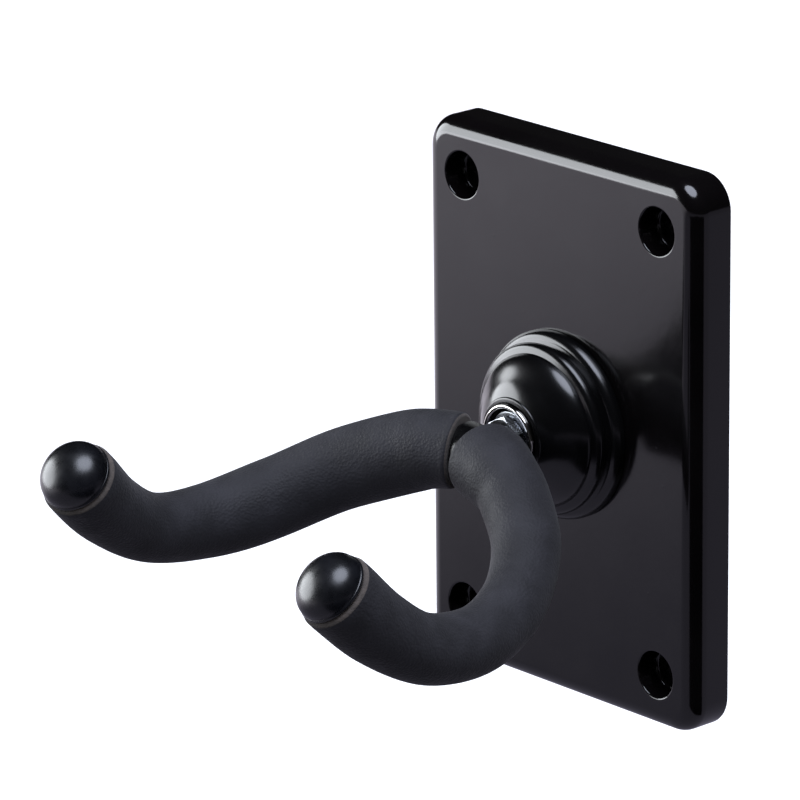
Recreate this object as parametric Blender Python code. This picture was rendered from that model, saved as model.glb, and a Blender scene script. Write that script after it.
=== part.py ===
"""Wall hanger for a guitar: a swivelling padded yoke on a lacquered back plate.

The frame's origin is the middle of the plate's back face, where it meets the wall. +X runs to the right
as seen from the room, -Y comes out of the wall and +Z is up. Lengths are in metres.
"""

import math

import bmesh
import bpy
from mathutils import Matrix, Vector
from mathutils.geometry import interpolate_bezier

MM = 0.001
GAP = 0.3 * MM  # clearance that touching pieces keep

# Back plate: a 1/2 in board, 4 in wide
PLATE_WIDTH = 100 * MM
PLATE_HEIGHT = 147.5 * MM
PLATE_DEPTH = 12.5 * MM
PLATE_CORNER_R = 9 * MM
PLATE_EDGE_R = 4.8 * MM
PLATE_CORNER_STEPS = 6
PLATE_EDGE_STEPS = 5

# Counterbored holes for the wall screws
SCREW_X = 35.9 * MM
SCREW_Z = 59.2 * MM
SCREW_HEAD_R = 6.2 * MM
SCREW_HEAD_DEPTH = 6.8 * MM
SCREW_SHANK_R = 2.6 * MM
SCREW_CHAMFER = 0.5 * MM

# Turned boss, in distances forward of the plate's face
BOSS_FOOT_R = 25 * MM
BOSS_FOOT_ROUND = 2.4 * MM
BOSS_BEAD_R = 22.7 * MM
BOSS_BEAD_ROUND = 1.75 * MM
BOSS_DOME_R = 20.3 * MM
BOSS_NECK_R = 10.7 * MM
BOSS_LENGTH = 16.9 * MM

# Swivel stack, around a 1/4 in stem with 7/16 in nuts
STEM_R = 3.2 * MM
BUSH_R = 5.6 * MM
BUSH_FLANGE_R = 7.6 * MM
FERRULE_R = 9.1 * MM
FERRULE_MOUTH_R = 7.9 * MM
FERRULE_SEAT = 14.3 * MM
FERRULE_LIP = 18.2 * MM
FRONT_FLANGE = 1 * MM
REAR_FLANGE = 0.8 * MM
WASHER_THICKNESS = 1 * MM
SPRING_THICKNESS = 1 * MM
SPRING_RISE = 0.4 * MM  # how far the split ring's ends stand apart
THRUST_WASHER_R = 7 * MM
REAR_WASHER_R = 8 * MM
SPRING_WASHER_R = 5.8 * MM
NUT_ACROSS_FLATS = 11.1 * MM
JAM_NUT_THICKNESS = 2.8 * MM
LOCK_NUT_THICKNESS = 3.8 * MM
RECESS_R = 11.5 * MM
RECESS_DEPTH = 9.2 * MM

# Yoke: one bent rod, turned a little on its swivel, in two foam sleeves
YOKE_TILT = math.radians(2.8)
ROD_R = 4.75 * MM
ROD_FORWARD = 29.4 * MM  # rod's middle, forward of the plate's face
ROD_DROP = 1.6 * MM  # rod's middle, below the stem's axis
ROD_TIP = 5.2 * MM  # how far the rod stands out of each sleeve
SLEEVE_CUT = math.radians(24)  # how far each sleeve's inner end is cut off square, towards the front
SLEEVE_BORE_R = ROD_R + GAP
KNUCKLE_R = 8.0 * MM
KNUCKLE_HALF_WIDTH = 4.2 * MM  # before its two sides are cut to follow the sleeves' ends
KNUCKLE_BORE_R = ROD_R + 0.5 * MM
KNUCKLE_GAP = 0.4 * MM
CAP_R = 9.2 * MM
CAP_FLANGE_R = 9.5 * MM
CAP_RIM = 1.4 * MM
CAP_DOME = 6.5 * MM

# Stations along the right arm's centre line, from the knuckle to the cut end of the foam, in mm:
# sideways, forward of the plate's face, upward. The left arm mirrors them.
ARM_STATIONS = (
    (4.9, 29.7, -1.9),
    (13.0, 32.0, -3.2),
    (21.0, 34.8, -6.0),
    (34.9, 43.6, -12.6),
    (45.3, 57.0, -20.1),
    (51.2, 74.4, -24.0),
    (52.1, 92.8, -21.7),
    (50.8, 107.7, -12.7),
    (48.4, 120.1, -0.6),
)
# Foam radius in mm at even steps along each arm: it bulges on the straight and thins round the bend.
FOAM_RADII = {"left": (10.0, 10.8, 10.4, 9.0, 10.1), "right": (10.5, 9.1, 8.5, 8.9, 10.1)}

TURNED_STEPS = 40
SMALL_STEPS = 28
SLEEVE_STEPS = 20
ROD_STEPS = 14
ARM_STEPS = 3
ARC_STEPS = 5


def clear_scene():
    for old in list(bpy.data.objects):
        bpy.data.objects.remove(old, do_unlink=True)


def material(name, colour, roughness, metallic=0.0):
    mat = bpy.data.materials.new(name)
    mat.use_nodes = True
    shader = mat.node_tree.nodes["Principled BSDF"]
    shader.inputs["Base Color"].default_value = (*colour, 1.0)
    shader.inputs["Roughness"].default_value = roughness
    shader.inputs["Metallic"].default_value = metallic
    return mat


def add_object(name, bm, mat=None, parent=None, smooth_angle=35):
    """Make an object of a bmesh, with smooth faces that break at sharp corners."""
    bmesh.ops.remove_doubles(bm, verts=bm.verts, dist=1e-6)
    bmesh.ops.recalc_face_normals(bm, faces=bm.faces)
    mesh = bpy.data.meshes.new(name)
    bm.to_mesh(mesh)
    bm.free()
    mesh.shade_smooth()
    mesh.set_sharp_from_angle(angle=math.radians(smooth_angle))
    if mat:
        mesh.materials.append(mat)
    obj = bpy.data.objects.new(name, mesh)
    bpy.context.collection.objects.link(obj)
    obj.parent = parent
    return obj


def cut(target, cutter):
    """Take a cutter away from an object with an exact Boolean."""
    cutter.hide_render = True
    cutter.display_type = "WIRE"
    boolean = target.modifiers.new(cutter.name, "BOOLEAN")
    boolean.operation = "DIFFERENCE"
    boolean.solver = "EXACT"
    boolean.object = cutter


def arc(centre, radius, start, end, steps=ARC_STEPS):
    """Points on an arc of (radius, forward) profile coordinates, with angles in degrees."""
    angles = [math.radians(start + (end - start) * i / steps) for i in range(steps + 1)]
    return [(centre[0] + radius * math.cos(a), centre[1] + radius * math.sin(a)) for a in angles]


def turned(profile, steps, closed=True, centre=(0.0, 0.0)):
    """Spin a profile of (radius, forward) points about the line along Y through centre (x, z)."""
    bm = bmesh.new()
    points = [bm.verts.new((r, -forward, 0.0)) for r, forward in profile]
    edges = [bm.edges.new(pair) for pair in zip(points, points[1:])]
    if closed:
        edges.append(bm.edges.new((points[-1], points[0])))
    bmesh.ops.spin(bm, geom=points + edges, axis=(0, 1, 0), cent=(0, 0, 0), angle=math.tau,
                   steps=steps, use_merge=True)
    bmesh.ops.remove_doubles(bm, verts=bm.verts, dist=1e-6)
    bmesh.ops.translate(bm, verts=bm.verts, vec=(centre[0], 0, centre[1]))
    return bm


def ring(inner, outer, start, end):
    """Profile of a plain ring between two radii and two forward distances."""
    return [(inner, start), (outer, start), (outer, end), (inner, end)]


def from_face(profile):
    """Move a profile from distances off the plate's face to distances off the wall."""
    return [(r, forward + PLATE_DEPTH) for r, forward in profile]


def rounded_outline(width, height, radius, steps):
    """Corner arcs of a rounded rectangle in X and Z."""
    corners = []
    for quarter in range(4):
        sign_x = (1, -1, -1, 1)[quarter]
        sign_z = (1, 1, -1, -1)[quarter]
        centre = (sign_x * (width / 2 - radius), sign_z * (height / 2 - radius))
        corners += arc(centre, radius, 90 * quarter, 90 * quarter + 90, steps)
    return corners


def back_plate(mat):
    bm = bmesh.new()
    outline = rounded_outline(PLATE_WIDTH, PLATE_HEIGHT, PLATE_CORNER_R, PLATE_CORNER_STEPS)
    face = bm.faces.new([bm.verts.new((x, 0, z)) for x, z in outline])
    front = bmesh.ops.extrude_face_region(bm, geom=[face])["geom"]
    front_verts = [item for item in front if isinstance(item, bmesh.types.BMVert)]
    front_edges = [item for item in front if isinstance(item, bmesh.types.BMEdge)]
    bmesh.ops.translate(bm, verts=front_verts, vec=(0, -PLATE_DEPTH, 0))
    bmesh.ops.bevel(bm, geom=front_edges, offset=PLATE_EDGE_R, segments=PLATE_EDGE_STEPS,
                    profile=0.5, affect="EDGES", material=-1)
    plate = add_object("back_plate", bm, mat)

    over = 1 * MM
    floor = PLATE_DEPTH - SCREW_HEAD_DEPTH
    mouth = SCREW_HEAD_R + SCREW_CHAMFER + over
    screw = [(0, -over), (SCREW_SHANK_R, -over), (SCREW_SHANK_R, floor), (SCREW_HEAD_R, floor),
             (SCREW_HEAD_R, PLATE_DEPTH - SCREW_CHAMFER), (mouth, PLATE_DEPTH + over),
             (0, PLATE_DEPTH + over)]
    for side, x in (("left", -SCREW_X), ("right", SCREW_X)):
        for row, z in (("upper", SCREW_Z), ("lower", -SCREW_Z)):
            shape = turned(screw, SMALL_STEPS, closed=False, centre=(x, z))
            cut(plate, add_object(f"cutter_{row}_{side}_screw", shape))

    bore = [(0, -over), (RECESS_R, -over), (RECESS_R, RECESS_DEPTH), (BUSH_R + GAP, RECESS_DEPTH),
            (BUSH_R + GAP, PLATE_DEPTH + over), (0, PLATE_DEPTH + over)]
    cut(plate, add_object("cutter_swivel_bore", turned(bore, TURNED_STEPS, closed=False)))
    return plate


def boss_outline():
    """Outer profile of the turned boss, from its foot on the plate to the lip of its neck."""
    foot = arc((BOSS_FOOT_R - BOSS_FOOT_ROUND, GAP + 0.7 * MM), BOSS_FOOT_ROUND, 0, 90)
    bead_centre = (BOSS_BEAD_R - BOSS_BEAD_ROUND, foot[-1][1] + BOSS_BEAD_ROUND + 0.6 * MM)
    bead = arc(bead_centre, BOSS_BEAD_ROUND, -70, 85)
    dome_start = (BOSS_DOME_R, bead[-1][1] + 0.2 * MM)
    shoulder = (14.4 * MM, 14.0 * MM)
    neck = (BOSS_NECK_R, BOSS_LENGTH - 0.6 * MM)
    dome = bezier_profile(dome_start, (BOSS_DOME_R, 9.9 * MM), (16.6 * MM, 12.2 * MM), shoulder, 7)
    throat = bezier_profile(shoulder, (13.2 * MM, 15.0 * MM), (12.0 * MM, 15.7 * MM), neck, 5)
    return foot + bead + dome + throat[1:] + [(neck[0] - 0.3 * MM, BOSS_LENGTH)]


def bezier_profile(start, handle_1, handle_2, end, steps):
    points = interpolate_bezier(*(Vector((r, f, 0)) for r, f in (start, handle_1, handle_2, end)), steps + 1)
    return [(p.x, p.y) for p in points]


def boss_cover(mat):
    mouth = FERRULE_R + GAP
    seat = FERRULE_SEAT - 1.1 * MM
    bore = [(mouth, BOSS_LENGTH), (mouth, seat), (BUSH_R + GAP, seat), (BUSH_R + GAP, GAP)]
    profile = [(BOSS_FOOT_R, GAP)] + boss_outline() + bore
    return add_object("boss_cover", turned(from_face(profile), TURNED_STEPS), mat)


def mouth_ferrule(mat):
    """Bright ring let into the boss's mouth, with a rounded lip round a recess for the bush's flange."""
    back = FERRULE_SEAT - 0.8 * MM
    lip_r = (FERRULE_R - FERRULE_MOUTH_R) / 2
    lip = arc((FERRULE_R - lip_r, FERRULE_LIP - lip_r), lip_r, 0, 180)
    seat = [(FERRULE_MOUTH_R, FERRULE_SEAT), (BUSH_R + GAP, FERRULE_SEAT), (BUSH_R + GAP, back)]
    profile = [(FERRULE_R, back)] + lip + seat
    return add_object("mouth_ferrule", turned(from_face(profile), TURNED_STEPS), mat)


def front_bush(mat):
    bore = STEM_R + GAP
    flange = FERRULE_SEAT + GAP
    profile = [(bore, 2 * GAP), (BUSH_R, 2 * GAP), (BUSH_R, flange), (BUSH_FLANGE_R, flange),
               (BUSH_FLANGE_R, flange + FRONT_FLANGE), (bore, flange + FRONT_FLANGE)]
    return add_object("front_bush", turned(from_face(profile), SMALL_STEPS), mat)


def rear_bush(mat):
    bore = STEM_R + GAP
    flange = RECESS_DEPTH - GAP
    rim = flange - REAR_FLANGE
    profile = [(bore, rim), (BUSH_FLANGE_R, rim), (BUSH_FLANGE_R, flange), (BUSH_R, flange),
               (BUSH_R, PLATE_DEPTH), (bore, PLATE_DEPTH)]
    return add_object("rear_bush", turned(profile, SMALL_STEPS), mat)


def hex_nut(name, start, end, mat, parent, socket=None):
    """Hexagonal nut on the stem, with an optional (radius, end) socket for its locking insert."""
    bm = bmesh.new()
    corner_r = NUT_ACROSS_FLATS / math.sqrt(3)
    bmesh.ops.create_cone(bm, cap_ends=True, segments=6, radius1=corner_r, radius2=corner_r,
                          depth=end - start)
    place = Matrix.Translation((0, -(start + end) / 2, 0)) @ Matrix.Rotation(math.pi / 2, 4, "X")
    bmesh.ops.transform(bm, matrix=place, verts=bm.verts)
    nut = add_object(name, bm, mat, parent)
    bore = STEM_R + GAP
    hole = [(0, start - MM), (bore, start - MM), (bore, end + MM), (0, end + MM)]
    if socket:
        hole[1:2] = [(socket[0], start - MM), (socket[0], socket[1]), (bore, socket[1])]
    cut(nut, add_object(f"cutter_{name}", turned(hole, SMALL_STEPS, closed=False), parent=parent))
    return nut


def swivel_stem(mat, parent):
    start = 0.6 * MM
    end = PLATE_DEPTH + ROD_FORWARD - ROD_R - GAP
    chamfer = 0.5 * MM
    profile = [(0, start), (STEM_R - chamfer, start), (STEM_R, start + chamfer), (STEM_R, end), (0, end)]
    return add_object("swivel_stem", turned(profile, SMALL_STEPS, closed=False), mat, parent)


def front_stack(steel, parent):
    """Washer and thin nut between the bush's flange and the knuckle."""
    washer = FERRULE_SEAT + GAP + FRONT_FLANGE + GAP
    front = washer + WASHER_THICKNESS
    disc = turned(from_face(ring(STEM_R + GAP, THRUST_WASHER_R, washer, front)), SMALL_STEPS)
    add_object("thrust_washer", disc, steel, parent)
    nut = PLATE_DEPTH + front + GAP
    hex_nut("jam_nut", nut, nut + JAM_NUT_THICKNESS, steel, parent)


def rear_stack(steel, nylon, parent):
    """Flat washer, spring washer and lock nut in the plate's rear recess."""
    washer = RECESS_DEPTH - 2 * GAP - REAR_FLANGE
    back = washer - WASHER_THICKNESS
    add_object("rear_washer", turned(ring(STEM_R + GAP, REAR_WASHER_R, back, washer), SMALL_STEPS), steel)
    spring_end = back - GAP
    spring_washer(spring_end, steel, parent)
    nut_end = spring_end - SPRING_THICKNESS - SPRING_RISE - GAP
    nut_start = nut_end - LOCK_NUT_THICKNESS
    socket = (4.7 * MM, nut_start + 1.4 * MM)
    hex_nut("lock_nut", nut_start, nut_end, steel, parent, socket)
    insert = ring(STEM_R + GAP, 4.4 * MM, nut_start + 0.2 * MM, nut_start + 1.1 * MM)
    add_object("lock_nut_insert", turned(insert, SMALL_STEPS), nylon, parent)


def spring_washer(end, mat, parent):
    """Split ring whose two ends stand a little apart along the stem."""
    section = ring(STEM_R + GAP, SPRING_WASHER_R, end - SPRING_THICKNESS, end)
    split = math.radians(12)
    bm = bmesh.new()
    first = bm.faces.new([bm.verts.new((r, -forward, 0)) for r, forward in section])
    bmesh.ops.spin(bm, geom=[first], axis=(0, 1, 0), cent=(0, 0, 0), angle=math.tau - split,
                   steps=SMALL_STEPS, dvec=(0, SPRING_RISE / SMALL_STEPS, 0))
    return add_object("spring_washer", bm, mat, parent)


def smooth_path(before, points, steps):
    """Catmull-Rom curve through the points, which sets out as if it came from the point before them."""
    knots = [before, *points, points[-1] * 2 - points[-2]]
    path = []
    for previous, start, end, after in zip(knots, knots[1:], knots[2:], knots[3:]):
        handle_1 = start + (end - previous) / 6
        handle_2 = end - (after - start) / 6
        path += interpolate_bezier(start, handle_1, handle_2, end, steps + 1)[:-1]
    return path + [points[-1]]


def rod_middle():
    return Vector((0, -(PLATE_DEPTH + ROD_FORWARD), -ROD_DROP))


def arm_points(side):
    """Centre line stations of one arm, as vectors."""
    sign = {"left": -1, "right": 1}[side]
    return [Vector((sign * x, -f, z)) * MM - Vector((0, PLATE_DEPTH, 0)) for x, f, z in ARM_STATIONS]


def arm_path(side):
    """Centre line of one foam sleeve."""
    return smooth_path(rod_middle(), arm_points(side), ARM_STEPS)


def tip_direction(side):
    points = arm_points(side)
    return (points[-1] - points[-2]).normalized()


def inner_cut(side):
    """Direction square to the cut at a sleeve's inner end, away from the knuckle."""
    sign = {"left": -1, "right": 1}[side]
    return Vector((sign * math.cos(SLEEVE_CUT), -math.sin(SLEEVE_CUT), 0))


def rod_path():
    """The whole rod, from the left tip to the right tip."""
    left = arm_path("left") + [arm_path("left")[-1] + tip_direction("left") * ROD_TIP]
    right = arm_path("right") + [arm_path("right")[-1] + tip_direction("right") * ROD_TIP]
    return left[::-1] + [rod_middle()] + right


def frames(path, first, last):
    """A tangent and two steady cross directions at every point of a path whose end tangents are given."""
    tangents = [first]
    tangents += [(after - before).normalized() for before, after in zip(path, path[2:])]
    tangents.append(last)
    across = Vector((0, 0, 1))
    result = []
    for tangent in tangents:
        across = (across - tangent * across.dot(tangent)).normalized()
        result.append((tangent, across, tangent.cross(across)))
    return result


def loop_of(bm, point, frame, radius, steps):
    _, across, along = frame
    angles = [math.tau * i / steps for i in range(steps)]
    return [bm.verts.new(point + (across * math.cos(a) + along * math.sin(a)) * radius) for a in angles]


def skin(bm, loops, steps):
    """Join rings of vertices into a tube wall."""
    for near, far in zip(loops, loops[1:]):
        for i in range(steps):
            j = (i + 1) % steps
            bm.faces.new((near[i], near[j], far[j], far[i]))


def yoke_rod(mat, parent):
    bm = bmesh.new()
    path = rod_path()
    cross = frames(path, -tip_direction("left"), tip_direction("right"))
    loops = [loop_of(bm, p, frame, ROD_R, ROD_STEPS) for p, frame in zip(path, cross)]
    skin(bm, loops, ROD_STEPS)
    bm.faces.new(loops[0])
    bm.faces.new(loops[-1])
    return add_object("yoke_rod", bm, mat, parent, smooth_angle=50)


def foam_radius(side, share):
    """Foam radius at a share of the arm's length, eased between its stations."""
    radii = FOAM_RADII[side]
    place = share * (len(radii) - 1)
    index = min(int(place), len(radii) - 2)
    ease = (1 - math.cos(math.pi * (place - index))) / 2
    return (radii[index] * (1 - ease) + radii[index + 1] * ease) * MM


def foam_sleeve(side, mat, parent):
    """Foam tube over one arm of the rod, with flat cut ends."""
    path = arm_path(side)
    cross = frames(path, inner_cut(side), tip_direction(side))
    last = len(path) - 1
    bm = bmesh.new()
    outer = [loop_of(bm, p, cross[i], foam_radius(side, i / last), SLEEVE_STEPS)
             for i, p in enumerate(path)]
    inner = [loop_of(bm, p, cross[i], SLEEVE_BORE_R, SLEEVE_STEPS) for i, p in enumerate(path)]
    skin(bm, outer + inner[::-1] + outer[:1], SLEEVE_STEPS)
    return add_object(f"{side}_foam_sleeve", bm, mat, parent, smooth_angle=50)


def end_cap(side, mat, parent):
    """Domed cap that closes the foam and grips the rod's tip in a blind socket."""
    socket_r = ROD_R + GAP
    socket_end = ROD_TIP + GAP
    edge = 0.3 * MM
    profile = [(socket_r, GAP), (CAP_FLANGE_R - edge, GAP), (CAP_FLANGE_R, GAP + edge)]
    profile += [(CAP_FLANGE_R, CAP_RIM - edge), (CAP_FLANGE_R - edge, CAP_RIM), (CAP_R, CAP_RIM)]
    quarter = [math.radians(90 * i / 7) for i in range(1, 8)]
    profile += [(CAP_R * math.cos(a), CAP_RIM + CAP_DOME * math.sin(a)) for a in quarter[:-1]]
    profile += [(0, CAP_RIM + CAP_DOME), (0, socket_end), (socket_r, socket_end)]
    bm = turned(profile, SMALL_STEPS)
    turn = Vector((0, -1, 0)).rotation_difference(tip_direction(side)).to_matrix().to_4x4()
    bmesh.ops.transform(bm, matrix=Matrix.Translation(arm_points(side)[-1]) @ turn, verts=bm.verts)
    return add_object(f"{side}_end_cap", bm, mat, parent)


def yoke_knuckle(mat, parent):
    """Wedge-sided barrel round the rod's middle, bored across for the stem."""
    bm = bmesh.new()
    chamfer = 0.8 * MM
    half = KNUCKLE_HALF_WIDTH
    bore = KNUCKLE_BORE_R
    profile = [(bore, -half), (KNUCKLE_R - chamfer, -half), (KNUCKLE_R, chamfer - half),
               (KNUCKLE_R, half - chamfer), (KNUCKLE_R - chamfer, half), (bore, half)]
    points = [bm.verts.new((x, 0, r)) for r, x in profile]
    edges = [bm.edges.new(pair) for pair in zip(points, points[1:] + points[:1])]
    bmesh.ops.spin(bm, geom=points + edges, axis=(1, 0, 0), cent=(0, 0, 0), angle=math.tau,
                   steps=TURNED_STEPS, use_merge=True)
    bmesh.ops.translate(bm, verts=bm.verts, vec=rod_middle())
    knuckle = add_object("yoke_knuckle", bm, mat, parent)
    hole_r = STEM_R + GAP
    middle = PLATE_DEPTH + ROD_FORWARD
    hole = [(0, middle - KNUCKLE_R - MM), (hole_r, middle - KNUCKLE_R - MM), (hole_r, middle), (0, middle)]
    cut(knuckle, add_object("cutter_knuckle", turned(hole, SMALL_STEPS, closed=False), parent=parent))
    for side in ("left", "right"):
        block = bmesh.new()
        bmesh.ops.create_cube(block, size=30 * MM)
        normal = inner_cut(side)
        middle = arm_points(side)[0] + normal * (15 * MM - KNUCKLE_GAP)
        turn = Vector((1, 0, 0)).rotation_difference(normal).to_matrix().to_4x4()
        bmesh.ops.transform(block, matrix=Matrix.Translation(middle) @ turn, verts=block.verts)
        cut(knuckle, add_object(f"cutter_knuckle_{side}", block, parent=parent))
    return knuckle


def main():
    clear_scene()
    lacquer = material("black_lacquer", (0.012, 0.010, 0.012), 0.25)
    enamel = material("gloss_black_abs", (0.006, 0.006, 0.007), 0.12)
    nickel = material("bright_nickel", (0.72, 0.72, 0.70), 0.15, 1.0)
    zinc = material("zinc_plated_steel", (0.60, 0.61, 0.62), 0.28, 1.0)
    nylon = material("black_nylon", (0.010, 0.010, 0.010), 0.45)
    white_nylon = material("natural_nylon", (0.75, 0.73, 0.66), 0.45)
    paint = material("black_painted_steel", (0.008, 0.008, 0.009), 0.40)
    foam = material("black_foam", (0.022, 0.023, 0.027), 0.85)
    rubber = material("gloss_black_cap", (0.008, 0.009, 0.010), 0.18)

    back_plate(lacquer)
    boss_cover(enamel)
    mouth_ferrule(nickel)
    front_bush(nylon)
    rear_bush(nylon)

    pivot = bpy.data.objects.new("yoke_pivot", None)
    bpy.context.collection.objects.link(pivot)
    pivot.rotation_euler = (0, YOKE_TILT, 0)
    swivel_stem(zinc, pivot)
    front_stack(zinc, pivot)
    rear_stack(zinc, white_nylon, pivot)
    yoke_knuckle(paint, pivot)
    yoke_rod(paint, pivot)
    for side in ("left", "right"):
        foam_sleeve(side, foam, pivot)
        end_cap(side, rubber, pivot)


main()
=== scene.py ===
"""Finished look of a wall hanger for a guitar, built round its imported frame.

Lengths are in metres in the frame's own axes: the origin is the middle of the plate's back face, +X
runs to the right as seen from the room, -Y comes out of the wall and +Z is up. Profiles of turned
pieces are lists of (radius, forward) points, where forward is the distance out of the wall.
"""

import logging
import math
from dataclasses import dataclass, field
from enum import Enum
from typing import Any, Sequence

import bmesh
import bpy
from bmesh.types import BMEdge, BMesh, BMVert
from bpy.types import Material, Node, NodeSocket, NodeTree, Object
from mathutils import Matrix, Vector, noise
from mathutils.geometry import interpolate_bezier


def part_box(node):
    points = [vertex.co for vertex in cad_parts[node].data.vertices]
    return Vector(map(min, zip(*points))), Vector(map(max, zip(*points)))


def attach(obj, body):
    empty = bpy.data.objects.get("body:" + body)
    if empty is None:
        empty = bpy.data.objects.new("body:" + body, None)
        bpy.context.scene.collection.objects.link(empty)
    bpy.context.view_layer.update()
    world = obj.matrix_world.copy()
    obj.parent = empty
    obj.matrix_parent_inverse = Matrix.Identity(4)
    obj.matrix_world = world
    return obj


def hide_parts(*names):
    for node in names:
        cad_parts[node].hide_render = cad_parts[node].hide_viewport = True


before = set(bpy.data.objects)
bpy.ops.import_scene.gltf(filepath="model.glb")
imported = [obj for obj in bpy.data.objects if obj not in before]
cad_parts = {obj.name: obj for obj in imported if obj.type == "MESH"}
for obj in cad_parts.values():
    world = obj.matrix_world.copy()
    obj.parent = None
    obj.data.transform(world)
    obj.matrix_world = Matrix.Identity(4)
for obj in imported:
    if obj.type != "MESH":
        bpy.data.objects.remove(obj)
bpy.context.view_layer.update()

MM = 0.001
GAP = 0.3 * MM  # clearance that touching pieces keep

Profile = list[tuple[float, float]]
Rings = list[tuple[Matrix, float]]  # the frame and the radius of each ring of a sweep
log = logging.getLogger("guitar_hanger")


class Body(Enum):
    """The frame's two bodies: what is fixed to the wall, and what turns on the swivel."""

    BASE = "base"
    YOKE = "yoke"


class Side(Enum):
    """The two arms of the yoke, as seen from the room."""

    LEFT = -1
    RIGHT = 1

    @property
    def word(self) -> str:
        """The side's name in lower case."""
        return self.name.lower()


# ==== Finishes ====


def linear(hex_colour: str) -> tuple[float, float, float, float]:
    """Turn an sRGB hex colour into linear RGBA.

    Args:
        hex_colour: Six hex digits, with or without a leading hash.

    Returns:
        Linear red, green and blue, with alpha 1.
    """
    digits = hex_colour.lstrip("#")
    values = [int(digits[i:i + 2], 16) / 255 for i in (0, 2, 4)]
    red, green, blue = (v / 12.92 if v <= 0.04045 else ((v + 0.055) / 1.055) ** 2.4 for v in values)
    return red, green, blue, 1.0


def add_node(tree: NodeTree, kind: str, inputs: dict[Any, Any] | None = None, **settings: Any) -> Node:
    """Add a node with its settings and its inputs.

    Args:
        tree: The node tree to add it to.
        kind: The node's Blender type name.
        inputs: Values or output sockets to link, by the input's name or number.
        **settings: The node's own properties.

    Returns:
        The new node.
    """
    node = tree.nodes.new(kind)
    for name, value in settings.items():
        setattr(node, name, value)
    for name, value in (inputs or {}).items():
        if isinstance(value, NodeSocket):
            tree.links.new(value, node.inputs[name])
        else:
            node.inputs[name].default_value = value
    return node


@dataclass(frozen=True)
class Finish:
    """How one real material looks: its colour, its gloss and the marks that its making leaves.

    colour_span and rough_span say how far the colour and the roughness drift over patch_mm, and
    grain_mm and grain_depth_mm are the size and height of the surface's own texture.
    """

    name: str
    slot: str
    colour: str
    worn_colour: str
    roughness: float
    rough_span: float = 0.05
    metallic: float = 0.0
    patch_mm: float = 12.0
    grain_mm: float = 1.0
    grain_depth_mm: float = 0.01

    def material(self) -> Material:
        """Make the Blender material, or give back the one already made."""
        made = bpy.data.materials.get(self.name)
        if made:
            return made
        made = bpy.data.materials.new(self.name)
        made.use_nodes = True
        tree = made.node_tree
        shader = tree.nodes["Principled BSDF"]
        shader.inputs["Metallic"].default_value = self.metallic
        place = add_node(tree, "ShaderNodeTexCoord").outputs["Object"]
        self.colour_in(tree, shader, place)
        self.roughness_in(tree, shader, place)
        self.relief_in(tree, shader, place)
        self.extras(shader)
        return made

    def colour_in(self, tree: NodeTree, shader: Node, place: NodeSocket) -> None:
        """Drift the colour between its two shades over patches."""
        patches = add_node(tree, "ShaderNodeTexNoise",
                           {"Vector": place, "Scale": 1 / (self.patch_mm * MM), "Detail": 3.0})
        ramp = add_node(tree, "ShaderNodeValToRGB", {"Fac": patches.outputs["Fac"]})
        ramp.color_ramp.elements[0].position = 0.35
        ramp.color_ramp.elements[0].color = linear(self.colour)
        ramp.color_ramp.elements[1].position = 0.70
        ramp.color_ramp.elements[1].color = linear(self.worn_colour)
        tree.links.new(ramp.outputs["Color"], shader.inputs["Base Color"])

    def roughness_in(self, tree: NodeTree, shader: Node, place: NodeSocket) -> None:
        """Drift the roughness by its span."""
        patches = add_node(tree, "ShaderNodeTexNoise",
                           {"Vector": place, "Scale": 1 / (self.patch_mm * MM / 2), "Detail": 4.0})
        span = add_node(tree, "ShaderNodeMapRange",
                        {"Value": patches.outputs["Fac"], "From Min": 0.3, "From Max": 0.7,
                         "To Min": self.roughness, "To Max": self.roughness + self.rough_span})
        tree.links.new(span.outputs["Result"], shader.inputs["Roughness"])

    def height(self, tree: NodeTree, place: NodeSocket) -> NodeSocket:
        """Height of the surface's texture, from 0 to 1."""
        grain = add_node(tree, "ShaderNodeTexNoise",
                         {"Vector": place, "Scale": 1 / (self.grain_mm * MM), "Detail": 2.0})
        return grain.outputs["Fac"]

    def relief_in(self, tree: NodeTree, shader: Node, place: NodeSocket) -> None:
        """Raise the surface by its texture."""
        bump = add_node(tree, "ShaderNodeBump",
                        {"Height": self.height(tree, place), "Strength": 1.0,
                         "Distance": self.grain_depth_mm * MM})
        tree.links.new(bump.outputs["Normal"], shader.inputs["Normal"])

    def extras(self, shader: Node) -> None:
        """Set what else the shader needs, straight on its sockets."""


@dataclass(frozen=True)
class SprayedLacquer(Finish):
    """Lacquer sprayed on a board: deep gloss with orange peel and a few specks of settled dust."""

    speck_mm: float = 9.0

    def height(self, tree: NodeTree, place: NodeSocket) -> NodeSocket:
        """Orange peel, with small nibs where dust settled in the wet lacquer."""
        peel = add_node(tree, "ShaderNodeTexNoise",
                        {"Vector": place, "Scale": 1 / (self.grain_mm * MM), "Detail": 1.0})
        nibs = add_node(tree, "ShaderNodeTexVoronoi", {"Vector": place, "Scale": 1 / (self.speck_mm * MM)})
        nib = add_node(tree, "ShaderNodeMapRange",
                       {"Value": nibs.outputs["Distance"], "From Min": 0.02, "From Max": 0.05,
                        "To Min": 2.5, "To Max": 0.0})
        both = add_node(tree, "ShaderNodeMath", {0: peel.outputs["Fac"], 1: nib.outputs["Result"]},
                        operation="ADD")
        return both.outputs["Value"]


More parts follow.
